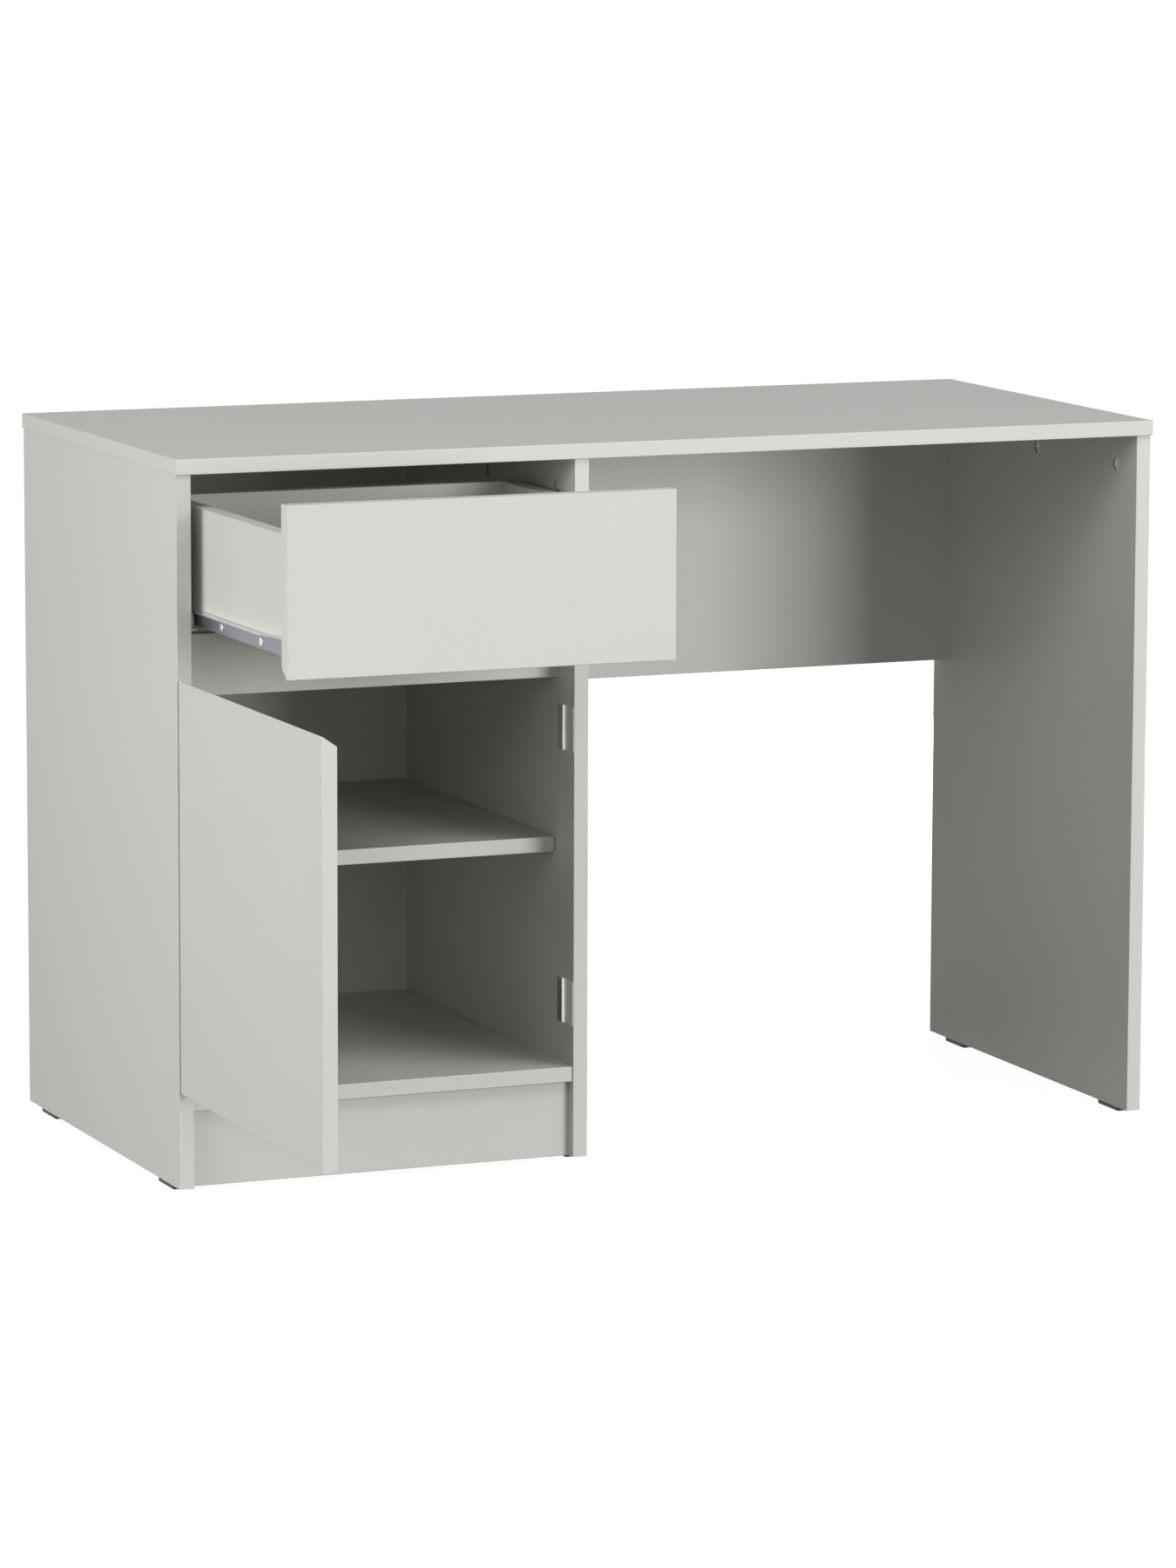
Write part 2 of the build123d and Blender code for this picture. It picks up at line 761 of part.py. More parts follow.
back_grip = groove_depth - groove_end_gap
with BuildPart() as cabinet_back:
    slab(
        (left_wall_x - back_grip, middle_wall_x + back_grip),
        (back_y, back_rear_y),
        (bottom_z, panel_top),
    )
    cut_nail_seats(back_nails())

with BuildPart() as shelf_pins:
    for side in SIDES:
        with Locations(pin_frames(side)):
            rod(pin_radius, -pin_grip, 0)
        for pin in pin_frames(side):
            slab(
                (pin.origin.X, cabinet_x(side, pin_plate_length)),
                around(pin.origin.Y, pin_plate_width),
                (shelf_z - pin_plate_height, shelf_z),
            )

# ---------------------------------------------------------------- glides
all_glide_nails = []
for glide_name, panel_x, glide_y in glide_places():
    glide_nail_frames = glide_nails(panel_x, glide_y)
    all_glide_nails += glide_nail_frames
    with BuildPart() as glide:
        slab(
            around(panel_x + board / 2, glide_width),
            (glide_y, glide_y + glide_length),
            (0, glide_height),
        )
        fillet(edges().filter_by(Axis.Z), glide_corner_radius)
        chamfer(faces().sort_by(Axis.Z)[0].edges(), glide_chamfer)
        with Locations(glide_nail_frames):
            rod(nail_head_radius + fit_clearance, -nail_head_height, glide_height, Mode.SUBTRACT)
            rod(nail_radius + fit_clearance, -glide_height, 0, mode=Mode.SUBTRACT)
    save(glide.part, glide_name)


# ---------------------------------------------------------------- runners
def cabinet_runner(side):
    """A channel on the cabinet wall: floor, web and a lip that starts behind the roller."""
    rear = runner_y + runner_length
    lip_y = runner_y + channel_lip_start
    back = cabinet_x(side, 0)
    face = cabinet_x(side, runner_gauge)
    with BuildPart() as runner:
        slab((back, face), (runner_y, rear), (channel_z, under_lip_z))
        slab(
            (back, cabinet_x(side, channel_floor_width)),
            (runner_y, rear),
            (channel_z, channel_floor_z),
        )
        slab(
            (back, cabinet_x(side, channel_lip_width)),
            (lip_y, rear),
            (under_lip_z, channel_lip_z),
        )
        bend([(face, runner_y, channel_floor_z), (face, rear, channel_floor_z)], bend_radius)
        bend([(back, runner_y, channel_z), (back, rear, channel_z)], outer_bend_radius)
        bend([(face, lip_y, under_lip_z), (face, rear, under_lip_z)], bend_radius)
        bend([(back, lip_y, channel_lip_z), (back, rear, channel_lip_z)], outer_bend_radius)
        cut_screw_holes(cabinet_runner_screws(side), screw_radius, screw_length)
        with Locations(roller_axis(side, front_roller_y, front_roller_z)):
            rod(roller_pin_radius + fit_clearance, 0, runner_gauge, mode=Mode.SUBTRACT)
    return runner.part


def flange_line(z):
    """Y and Z along the drawer's flange, level at the given height and lifted in front."""
    slope_start, slope_end = (box_y + row for row in flange_lift_rows)
    lifted_z = z + flange_lift
    return [(box_y, lifted_z), (slope_start, lifted_z), (slope_end, z), (box_rear_y, z)]


def drawer_runner(side):
    """An angle under the drawer side whose upper flange rolls on the cabinet's roller."""
    outer = runner_space - runner_gauge
    face = cabinet_x(side, outer)
    back = cabinet_x(side, runner_space)
    y_span = (box_y, box_rear_y)
    top_line = flange_line(flange_top_z)
    under_line = flange_line(flange_z)
    web_foot = [(box_rear_y, drawer_runner_z), (box_y, drawer_runner_z)]
    with BuildPart() as runner:
        prism((face, back), top_line + web_foot)
        slab(
            (face, cabinet_x(side, outer + drawer_ledge_width)),
            y_span,
            (drawer_runner_z, drawer_side_z),
        )
        flange_edge = cabinet_x(side, runner_space - drawer_flange_width)
        prism((flange_edge, back), top_line + under_line[::-1])
        bend([(back, y, drawer_side_z) for y in y_span], bend_radius)
        bend([(face, y, drawer_runner_z) for y in y_span], outer_bend_radius)
        bend([(face, *point) for point in under_line], bend_radius)
        bend([(back, *point) for point in top_line], outer_bend_radius)
        cut_screw_holes(drawer_runner_screws(side), screw_radius, screw_length)
        with Locations(roller_axis(side, rear_roller_y, rear_roller_z)):
            rod(roller_pin_radius + fit_clearance, outer, runner_space, mode=Mode.SUBTRACT)
    return runner.part


def roller_axis(side, y, z):
    """The frame of a roller's axis: on the cabinet wall, Z into the cabinet."""
    return frame_at((cabinet_x(side, 0), y, z), INWARD[side])


def roller(side, y, z, radius):
    """A plastic roller with rounded rims."""
    with BuildPart() as wheel:
        with Locations(roller_axis(side, y, z)):
            rod(radius, roller_wall_gap, roller_wall_gap + roller_width)
        fillet(edges().filter_by(GeomType.CIRCLE), roller_edge_radius)
        with Locations(roller_axis(side, y, z)):
            bore = roller_pin_radius + running_clearance
            rod(bore, roller_wall_gap, roller_wall_gap + roller_width, mode=Mode.SUBTRACT)
    return wheel.part


def roller_pins(y, z, on_drawer):
    """Two riveted pins, each with a collar on its runner's web and a head past its roller."""
    near = roller_wall_gap - roller_side_clearance
    far = roller_wall_gap + roller_width + roller_side_clearance
    with BuildPart() as pins:
        for side in SIDES:
            with Locations(roller_axis(side, y, z)):
                if on_drawer:
                    rod(roller_pin_radius, near, runner_space)
                    rod(roller_pin_head_radius, near - roller_pin_head_height, near)
                    rod(roller_pin_collar_radius, far, runner_space - runner_gauge)
                else:
                    rod(roller_pin_radius, 0, far)
                    rod(roller_pin_head_radius, far, far + roller_pin_head_height)
                    rod(roller_pin_collar_radius, runner_gauge, near)
    return pins.part


for side in SIDES:
    save(cabinet_runner(side), f"{side}_cabinet_runner")
    save(drawer_runner(side), f"{side}_drawer_runner")
    front_roller = roller(side, front_roller_y, front_roller_z, front_roller_radius)
    save(front_roller, f"{side}_cabinet_roller")
    save(roller(side, rear_roller_y, rear_roller_z, rear_roller_radius), f"{side}_drawer_roller")

# ---------------------------------------------------------------- drawer box
all_drawer_joints = drawer_joints("left") + drawer_joints("right")
bottom_grip_inset = runner_space + board - back_grip
bottom_groove_inset = runner_space + board - groove_depth
bottom_groove_z = (drawer_bottom_z - groove_clearance, drawer_bottom_top_z + groove_clearance)


def front_profile(low_outer, low_inner, high_outer, high_inner):
    """Corners of a front's section: the outer face at 0, the inner face one board further on."""
    return ((0, low_outer), (board, low_inner), (board, high_inner), (0, high_outer))


drawer_front_profile = front_profile(
    drawer_front_z, drawer_front_z + bevel_drop, drawer_front_top_z, drawer_front_top_z
)
door_profile = front_profile(door_z, door_z, door_top_z, door_top_z - bevel_drop)

with BuildPart() as drawer_front:
    left_end = Plane(
        origin=(cabinet_x("left", front_gap), drawer_y, 0), x_dir=REARWARD, z_dir=INWARD["left"]
    )
    with BuildSketch(left_end):
        with BuildLine():
            Polyline(drawer_front_profile, close=True)
        make_face()
    extrude(amount=door_width)
    fillet(edges().group_by(Axis.Y)[0], edge_radius)
    cut_bolt_holes(all_drawer_joints)
    slab(
        (cabinet_x("left", bottom_groove_inset), cabinet_x("right", bottom_groove_inset)),
        (box_y - groove_depth, box_y),
        bottom_groove_z,
        mode=Mode.SUBTRACT,
    )


def drawer_side(side):
    """One side of the drawer box, grooved for the drawer bottom."""
    outer = cabinet_x(side, runner_space)
    inner = cabinet_x(side, runner_space + board)
    with BuildPart() as piece:
        slab((outer, inner), (box_y, box_rear_y), (drawer_side_z, drawer_side_top_z))
        fillet(edges().filter_by(Axis.Y), edge_radius)
        slab(
            (inner, cabinet_x(side, bottom_groove_inset)),
            (box_y, box_rear_y),
            bottom_groove_z,
            mode=Mode.SUBTRACT,
        )
        cut_cam_seats(drawer_joints(side))
        cut_screw_holes(drawer_runner_screws(side), screw_radius, screw_length)
        with Locations(confirmat_frames(side)):
            head_seat = confirmat_head_radius + fit_clearance
            rod(head_seat, -confirmat_head_height, 0, mode=Mode.SUBTRACT)
            rod(confirmat_neck_radius + fit_clearance, -board, 0, mode=Mode.SUBTRACT)
    return piece.part


with BuildPart() as drawer_back:
    slab(
        (cabinet_x("left", runner_space + board), cabinet_x("right", runner_space + board)),
        (drawer_back_y, box_rear_y),
        (drawer_bottom_top_z, drawer_side_top_z),
    )
    fillet(edges().filter_by(Axis.X).group_by(Axis.Z)[-1], edge_radius)
    for side in SIDES:
        with Locations(confirmat_frames(side)):
            thread_end = -board - confirmat_thread_length
            thread_hole = confirmat_thread_radius + fit_clearance
            rod(thread_hole, thread_end, -board, mode=Mode.SUBTRACT)
    with Locations(drawer_nails()):
        rod(nail_radius + fit_clearance, -nail_length, 0, mode=Mode.SUBTRACT)

with BuildPart() as drawer_bottom:
    slab(
        (cabinet_x("left", bottom_grip_inset), cabinet_x("right", bottom_grip_inset)),
        (box_y - back_grip, box_rear_y),
        (drawer_bottom_z, drawer_bottom_top_z),
    )
    cut_nail_seats(drawer_nails())

with BuildPart() as drawer_back_screws:
    for side in SIDES:
        with Locations(confirmat_frames(side)):
            rod(confirmat_head_radius, -confirmat_head_height, 0)
            rod(confirmat_neck_radius, -board, 0)
            rod(confirmat_thread_radius, -board - confirmat_thread_length, 0)
            Box(confirmat_socket, confirmat_socket, confirmat_head_height, mode=Mode.SUBTRACT)

for side in SIDES:
    save(drawer_side(side), f"drawer_{side}_side")


# ---------------------------------------------------------------- door and hinges
with BuildPart() as door:
    hinged_end = Plane(origin=(left_x, door_edge_y, 0), x_dir=INWARD["left"], z_dir=FORWARD)
    with BuildSketch(hinged_end):
        with BuildLine():
            Polyline(door_profile, close=True)
        make_face()
    extrude(amount=door_width)
    fillet(edges().group_by(Axis.X)[0], edge_radius)
    for level in hinge_z:
        slab(
            around(pivot_x, leaf_plate_width),
            (door_edge_y - leaf_plate_thickness, door_edge_y),
            around(hinge_z[level], hinge_height),
            mode=Mode.SUBTRACT,
        )
        cut_screw_holes(leaf_screws(level), hinge_screw_radius, hinge_screw_length)


def cut_hinge_screw_seats(frames):
    """Seats of sunk hinge screws: a flat-bottomed seat and a hole right through."""
    with Locations(frames):
        seat = hinge_screw_head_radius + fit_clearance
        rod(seat, -hinge_screw_head_height, 0, mode=Mode.SUBTRACT)
        rod(hinge_screw_radius + fit_clearance, -hinge_screw_length, 0, mode=Mode.SUBTRACT)


def hinge_housing(level):
    """A block let into the panel's edge: two cheeks joined by a thin back."""
    inner_height = hinge_height - 2 * hinge_cheek_height
    with BuildPart() as housing:
        slab(
            (housing_x, left_wall_x),
            (front_y, housing_y),
            around(hinge_z[level], hinge_height),
        )
        slab(
            (housing_x, left_wall_x),
            (front_y, housing_y - hinge_back_thickness),
            around(hinge_z[level], inner_height),
            mode=Mode.SUBTRACT,
        )
        with Locations(hinge_pin_frame(level)):
            rod(hinge_pin_radius + fit_clearance, *around(0, hinge_height), mode=Mode.SUBTRACT)
            top = hinge_height / 2
            seat = hinge_pin_head_radius + fit_clearance
            rod(seat, top - hinge_pin_head_height, top, mode=Mode.SUBTRACT)
        cut_hinge_screw_seats(housing_screws(level))
    return housing.part


def hinge_leaf(level):
    """A knuckle on the pin, and a plate let into the door's edge, joined by a web."""
    knuckle_height = hinge_height - 2 * hinge_cheek_height - 2 * knuckle_end_gap
    web_height = around(hinge_z[level], knuckle_height)
    with BuildPart() as leaf:
        with Locations(hinge_pin_frame(level)):
            rod(knuckle_radius, *around(0, knuckle_height))
        slab(around(pivot_x, leaf_thickness), (door_edge_y, pivot_y), web_height)
        slab(
            around(pivot_x, leaf_plate_width),
            (door_edge_y - leaf_plate_thickness, door_edge_y),
            around(hinge_z[level], hinge_height),
        )
        with Locations(hinge_pin_frame(level)):
            bore = hinge_pin_radius + running_clearance
            rod(bore, *around(0, knuckle_height), mode=Mode.SUBTRACT)
        cut_hinge_screw_seats(leaf_screws(level))
    return leaf.part


def mounting_plate(level):
    """A stepped plate on the middle panel, held by two pegs in the panel."""
    plate_y = front_y + plate_inset
    step_y = plate_y + plate_width
    rear = step_y + plate_land
    face = cabinet_x("right", plate_rise)
    flange_face = cabinet_x("right", plate_gauge)
    ends = around(hinge_z[level], plate_height)
    with BuildPart() as plate:
        slab((middle_wall_x, flange_face), (plate_y, step_y), ends)
        slab((middle_wall_x, face), (step_y, rear), ends)
        for y in (step_y, rear):
            bend([(face, y, z) for z in ends], plate_edge_radius)
        bend([(flange_face, plate_y, z) for z in ends], plate_edge_radius)
        with Locations(plate_pegs(level)):
            rod(plate_peg_radius, -plate_peg_length, 0)
    return plate.part


with BuildPart() as hinge_pins:
    for level in hinge_z:
        with Locations(hinge_pin_frame(level)):
            rod(hinge_pin_radius, *around(0, hinge_height))
            top = hinge_height / 2
            rod(hinge_pin_head_radius, top - hinge_pin_head_height, top)

for level in hinge_z:
    save(hinge_housing(level), f"{level}_hinge_housing")
    save(hinge_leaf(level), f"{level}_hinge_leaf")
    save(mounting_plate(level), f"{level}_mounting_plate")

# ---------------------------------------------------------------- everything else is written
carcass_joints = top_joint_frames + cabinet_joints(0) + cabinet_joints(1)
carcass_joints += modesty_joints(0) + modesty_joints(1)
carcass_dowels = top_dowel_frames + cabinet_dowels(0) + cabinet_dowels(1)
carcass_dowels += modesty_dowels(0) + modesty_dowels(1)

runner_screw = (screw_radius, screw_head_radius, screw_head_height, screw_length)
hinge_screw = (
    hinge_screw_radius,
    hinge_screw_head_radius,
    hinge_screw_head_height,
    hinge_screw_length,
    hinge_screw_head_height,
)
both_levels = tuple(hinge_z)

finished = {
    "left_side_panel": left_side_panel.part,
    "middle_side_panel": middle_side_panel.part,
    "right_side_panel": right_side_panel.part,
    "worktop": worktop.part,
    "bottom_panel": bottom_panel.part,
    "plinth_board": plinth_board.part,
    "front_rail": front_rail.part,
    "modesty_panel": modesty_panel.part,
    "shelf": shelf.part,
    "cabinet_back": cabinet_back.part,
    "shelf_pins": shelf_pins.part,
    "drawer_front": drawer_front.part,
    "drawer_back": drawer_back.part,
    "drawer_bottom": drawer_bottom.part,
    "drawer_back_screws": drawer_back_screws.part,
    "door": door.part,
    "hinge_pins": hinge_pins.part,
    "cam_fittings": cams(carcass_joints),
    "cam_bolts": bolts(carcass_joints),
    "wooden_dowels": dowels(carcass_dowels),
    "drawer_cam_fittings": cams(all_drawer_joints),
    "drawer_cam_bolts": bolts(all_drawer_joints),
    "back_panel_nails": nails(back_nails()),
    "drawer_bottom_nails": nails(drawer_nails()),
    "glide_nails": nails(all_glide_nails),
    "cabinet_roller_pins": roller_pins(front_roller_y, front_roller_z, on_drawer=False),
    "drawer_roller_pins": roller_pins(rear_roller_y, rear_roller_z, on_drawer=True),
    "cabinet_runner_screws": screws(
        cabinet_runner_screws("left") + cabinet_runner_screws("right"), *runner_screw
    ),
    "drawer_runner_screws": screws(
        drawer_runner_screws("left") + drawer_runner_screws("right"), *runner_screw
    ),
    "hinge_housing_screws": screws(
        housing_screws(both_levels[0]) + housing_screws(both_levels[1]), *hinge_screw
    ),
    "hinge_leaf_screws": screws(
        leaf_screws(both_levels[0]) + leaf_screws(both_levels[1]), *hinge_screw
    ),
}

for name, piece in finished.items():
    save(piece, name)
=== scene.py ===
import json
from math import cos, radians, sin

import bpy
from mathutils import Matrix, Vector


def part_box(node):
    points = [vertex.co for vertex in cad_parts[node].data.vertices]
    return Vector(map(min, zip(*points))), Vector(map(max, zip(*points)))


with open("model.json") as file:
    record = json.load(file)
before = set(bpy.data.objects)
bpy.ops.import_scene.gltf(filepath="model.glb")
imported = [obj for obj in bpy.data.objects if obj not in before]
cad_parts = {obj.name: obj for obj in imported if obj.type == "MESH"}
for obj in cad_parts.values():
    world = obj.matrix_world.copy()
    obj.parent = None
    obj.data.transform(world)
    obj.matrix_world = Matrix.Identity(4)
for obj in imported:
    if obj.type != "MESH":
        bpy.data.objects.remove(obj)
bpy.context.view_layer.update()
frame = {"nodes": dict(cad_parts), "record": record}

# Looks of the writing desk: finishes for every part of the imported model, a pale floor, soft
# studio light and the camera. Metres; X to the right, Y to the rear, Z up.
MM = 0.001
X_AXIS = Vector((1, 0, 0))
Y_AXIS = Vector((0, 1, 0))
Z_AXIS = Vector((0, 0, 1))


# ---------------------------------------------------------------- colours
def linear(red, green, blue):
    """A display colour from 0 to 255 as the linear colour that shaders take."""
    def channel(value):
        share = value / 255
        return share / 12.92 if share <= 0.04045 else ((share + 0.055) / 1.055) ** 2.4

    return Vector((channel(red), channel(green), channel(blue)))


def shaded(colour, factor):
    """The colour made lighter or darker by a factor, with alpha."""
    return (*(channel * factor for channel in colour), 1.0)


MELAMINE = linear(194, 195, 189)
SHADED_CHIPBOARD_LIGHT = linear(122, 106, 84)  # raw chipboard darkened as painted shade inside a bore
SHADED_CHIPBOARD_DARK = linear(68, 54, 40)
HARDBOARD_LIGHT = linear(158, 120, 82)
HARDBOARD_DARK = linear(118, 84, 54)
SHEET_ZINC = linear(138, 140, 148)  # darker than zinc is, because the room it mirrors is white
# Painted highlight for the runners' level faces, which are also rubbed smooth by the rollers.
RUBBED_AND_SHEEN_ZINC = linear(226, 227, 228)
PLATE_NICKEL = linear(245, 245, 243)
CAST_ZINC = linear(236, 236, 232)
BRIGHT_ZINC = linear(240, 241, 242)
HINGE_NICKEL = linear(190, 189, 184)
BLACK_PLASTIC = linear(27, 29, 29)
NYLON = linear(228, 228, 221)
BEECH_LIGHT = linear(214, 178, 132)
BEECH_DARK = linear(176, 132, 88)


# ---------------------------------------------------------------- shader nodes
class Graph:
    """One material's node tree, with a short call for each kind of node."""

    def __init__(self, name):
        self.material = bpy.data.materials.new(name)
        self.material.use_nodes = True
        self.tree = self.material.node_tree
        self.shader = self.tree.nodes["Principled BSDF"]
        coordinates = self.node("ShaderNodeTexCoord")
        self.place = coordinates.outputs["Object"]
        self.normal = coordinates.outputs["Normal"]

    def node(self, kind, inputs=None, **settings):
        made = self.tree.nodes.new(kind)
        for key, value in settings.items():
            setattr(made, key, value)
        for key, value in (inputs or {}).items():
            self.put(made.inputs[key], value)
        return made

    def put(self, socket, value):
        if isinstance(value, bpy.types.NodeSocket):
            self.tree.links.new(value, socket)
        else:
            socket.default_value = value

    def set(self, **values):
        """Set the shader's own sockets, such as Base_Color."""
        for key, value in values.items():
            self.put(self.shader.inputs[key.replace("_", " ")], value)

    def math(self, operation, *values):
        made = self.node("ShaderNodeMath", operation=operation)
        for socket, value in zip(made.inputs, values):
            self.put(socket, value)
        return made.outputs[0]

    def vector(self, operation, *values, output="Vector"):
        made = self.node("ShaderNodeVectorMath", operation=operation)
        for socket, value in zip(made.inputs, values):
            self.put(socket, value)
        return made.outputs[output]

    def fade(self, value, start, end, low=0.0, high=1.0):
        """A smooth step from low, where value is start, to high, where it is end."""
        ends = {"Value": value, "From Min": start, "From Max": end, "To Min": low, "To Max": high}
        return self.node("ShaderNodeMapRange", ends, interpolation_type="SMOOTHSTEP").outputs[0]

    def spread(self, value, low, high):
        """Noise around one half, stretched so that it runs from low to high."""
        ends = {"Value": value, "From Min": 0.25, "From Max": 0.75, "To Min": low, "To Max": high}
        return self.node("ShaderNodeMapRange", ends).outputs[0]

    def mix(self, factor, first, second):
        """The first colour where the factor is 0, the second where it is 1."""
        made = self.node("ShaderNodeMix", data_type="RGBA")
        for socket, value in zip((made.inputs[0], *made.inputs[6:8]), (factor, first, second)):
            self.put(socket, value)
        return made.outputs[2]

    def mottled(self, noise, colour, dark, light):
        """The colour made darker and lighter, between two factors, by a noise."""
        return self.mix(self.spread(noise, 0, 1), shaded(colour, dark), shaded(colour, light))

    def stretched(self, stretch):
        """The place in the object, with each axis made longer by its own factor."""
        return self.vector("DIVIDE", self.place, stretch)

    def noise(self, grain, detail=2.0, stretch=(1, 1, 1)):
        """Noise from 0 to 1 whose grains are about this many metres across."""
        inputs = {"Vector": self.stretched(stretch), "Scale": 1 / grain, "Detail": detail}
        return self.node("ShaderNodeTexNoise", inputs).outputs["Fac"]

    def cells(self, grain, stretch=(1, 1, 1), output="Color"):
        """Voronoi cells about this many metres across."""
        inputs = {"Vector": self.stretched(stretch), "Scale": 1 / grain}
        return self.node("ShaderNodeTexVoronoi", inputs).outputs[output]

    def bump(self, height, distance, below=None):
        """A bumped normal: height is 0 to 1, distance is its depth in metres."""
        inputs = {"Height": height, "Distance": distance}
        if below is not None:
            inputs["Normal"] = below
        return self.node("ShaderNodeBump", inputs).outputs[0]


# ---------------------------------------------------------------- melamine boards
EDGE_BAND = 0.9 * MM  # how far from a board's edge the band's glue line shows on its face
GLUE_LINE = 0.07 * MM
SKIN = (0.35 * MM, 0.5 * MM)  # below this depth a cut shows the board's core
GRAIN_STRETCH = 5  # how much longer the print's streaks are along the grain


def board_zones(graph, node, axis, bevel):
    """Where a board shows its core, its edge band, and the hairline between band and face."""
    low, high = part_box(node)
    from_middle = graph.vector("SUBTRACT", graph.place, (low + high) / 2)
    depth = graph.vector("SUBTRACT", (high - low) / 2, graph.vector("ABSOLUTE", from_middle))
    along = graph.vector("ADD", depth, axis)

    def least(vector):
        x, y, z = graph.node("ShaderNodeSeparateXYZ", {"Vector": vector}).outputs
        return graph.math("MINIMUM", graph.math("MINIMUM", x, y), z)

    core = graph.fade(least(depth), *SKIN)
    if bevel:
        slope = graph.vector("DOT_PRODUCT", graph.normal, bevel.normalized(), output="Value")
        core = graph.math("MULTIPLY", core, graph.fade(slope, 0.97, 0.9))
    facing = graph.vector("DOT_PRODUCT", graph.normal, axis, output="Value")
    band = graph.fade(graph.math("ABSOLUTE", facing), 0.9, 0.6)
    off_line = graph.math("ABSOLUTE", graph.math("SUBTRACT", least(along), EDGE_BAND))
    line = graph.math("MULTIPLY", graph.fade(off_line, GLUE_LINE, 0), graph.fade(band, 1, 0))
    return core, band, line


def melamine_skin(graph, grain_axis):
    """Tone, roughness and relief of matt melamine: a fine pearl with a hint of direction."""
    stretch = Vector((1, 1, 1)) + GRAIN_STRETCH * grain_axis
    cloud = graph.noise(160 * MM)
    streak = graph.noise(1.6 * MM, 3, stretch)
    pearl = graph.noise(0.4 * MM, 1)
    tone = graph.math("ADD", graph.spread(cloud, -0.3, 0.3), graph.spread(streak, 0.15, 0.85))
    colour = graph.mix(tone, shaded(MELAMINE, 0.975), shaded(MELAMINE, 1.025))
    roughness = graph.math("ADD", graph.spread(streak, 0.5, 0.56), graph.spread(cloud, -0.02, 0.02))
    waves = graph.bump(graph.noise(18 * MM), 0.02 * MM)
    return colour, roughness, graph.bump(pearl, 0.012 * MM, waves)


def chipboard(graph):
    """Colour and relief of a chipboard core: pressed flakes with darker bark among them, in colours
    darkened as painted shade of a bore.
    """
    flakes = graph.cells(1.6 * MM, (1, 1.6, 1))
    fine = graph.noise(0.7 * MM, 3)
    shade = graph.math("MULTIPLY", graph.spread(fine, 0.2, 1.0), flakes)
    # The core colours are darkened as painted shade inside the bores.
    colour = graph.mix(shade, shaded(SHADED_CHIPBOARD_DARK, 1), shaded(SHADED_CHIPBOARD_LIGHT, 1))
    return colour, graph.bump(fine, 0.3 * MM)


def melamine_board(node, axis, grain_axis, bevel=None):
    """A coated board: melamine faces, banded edges, and chipboard inside its bores."""
    graph = Graph(f"{node}_melamine")
    core, band, line = board_zones(graph, node, axis, bevel)
    face_colour, face_roughness, relief = melamine_skin(graph, grain_axis)
    core_colour, core_relief = chipboard(graph)
    banded = graph.mix(band, face_colour, shaded(MELAMINE, 1.01))
    lined = graph.mix(graph.math("MULTIPLY", line, 0.5), banded, shaded(MELAMINE, 0.55))
    roughness = graph.math("SUBTRACT", face_roughness, graph.math("MULTIPLY", band, 0.05))
    normal = graph.node("ShaderNodeMix", data_type="VECTOR")
    for socket, value in zip((normal.inputs[0], *normal.inputs[4:6]), (core, relief, core_relief)):
        graph.put(socket, value)
    graph.set(
        Base_Color=graph.mix(core, lined, core_colour),
        Roughness=graph.math("MAXIMUM", roughness, graph.math("MULTIPLY", core, 0.9)),
        Normal=normal.outputs[1],
        Specular_IOR_Level=0.35,
    )
    return graph.material


# ---------------------------------------------------------------- other finishes
def fibreboard(node, lacquered):
    """Thin hardboard: lacquered grey on the side that shows, brown on the other and inside."""
    graph = Graph(f"{node}_fibreboard")
    face_colour, face_roughness, relief = melamine_skin(graph, X_AXIS)
    fibre = graph.noise(2.2 * MM, 5, (2.5, 1, 1))
    shade = graph.spread(fibre, 0, 1)
    brown = graph.mix(shade, shaded(HARDBOARD_DARK, 1), shaded(HARDBOARD_LIGHT, 1))
    facing = graph.vector("DOT_PRODUCT", graph.normal, lacquered, output="Value")
    raw = graph.fade(facing, 0.9, 0.5)
    graph.set(
        Base_Color=graph.mix(raw, face_colour, brown),
        Roughness=graph.math("MAXIMUM", face_roughness, graph.math("MULTIPLY", raw, 0.78)),
        Normal=graph.bump(fibre, 0.06 * MM, relief),
        Specular_IOR_Level=0.3,
    )
    return graph.material


def runner_zinc():
    """Zinc-plated sheet with rolling streaks; its level faces, up and down alike, painted brighter
    as a highlight and smoother where the rollers rub.
    """
    graph = Graph("runner_sheet_zinc")
    streak = graph.noise(0.5 * MM, 4, (1, 60, 1))
    cloud = graph.noise(9 * MM, 3, (1, 3, 1))
    upward = graph.vector("DOT_PRODUCT", graph.normal, Z_AXIS, output="Value")
    rubbed_and_sheen = graph.fade(graph.math("ABSOLUTE", upward), 0.8, 0.97)
    tone = graph.math("MULTIPLY", graph.spread(streak, 0.3, 1.0), graph.spread(cloud, 0.7, 1.0))
    plating = graph.mix(tone, shaded(SHEET_ZINC, 0.82), shaded(SHEET_ZINC, 1.06))
    # A painted highlight: every face facing up or down gets this brighter colour.
    rubbed_and_sheen_colour = graph.mix(tone, shaded(RUBBED_AND_SHEEN_ZINC, 0.9), shaded(RUBBED_AND_SHEEN_ZINC, 1.0))
    uneven = graph.spread(cloud, -0.03, 0.05)
    roughness = graph.math("ADD", graph.spread(streak, 0.31, 0.41), uneven)
    graph.set(
        Base_Color=graph.mix(rubbed_and_sheen, plating, rubbed_and_sheen_colour),
        Metallic=graph.fade(rubbed_and_sheen, 0, 1, 0.85, 1.0),
        Roughness=graph.math("SUBTRACT", roughness, graph.math("MULTIPLY", rubbed_and_sheen, 0.16)),
        Normal=graph.bump(streak, 0.01 * MM),
    )
    return graph.material


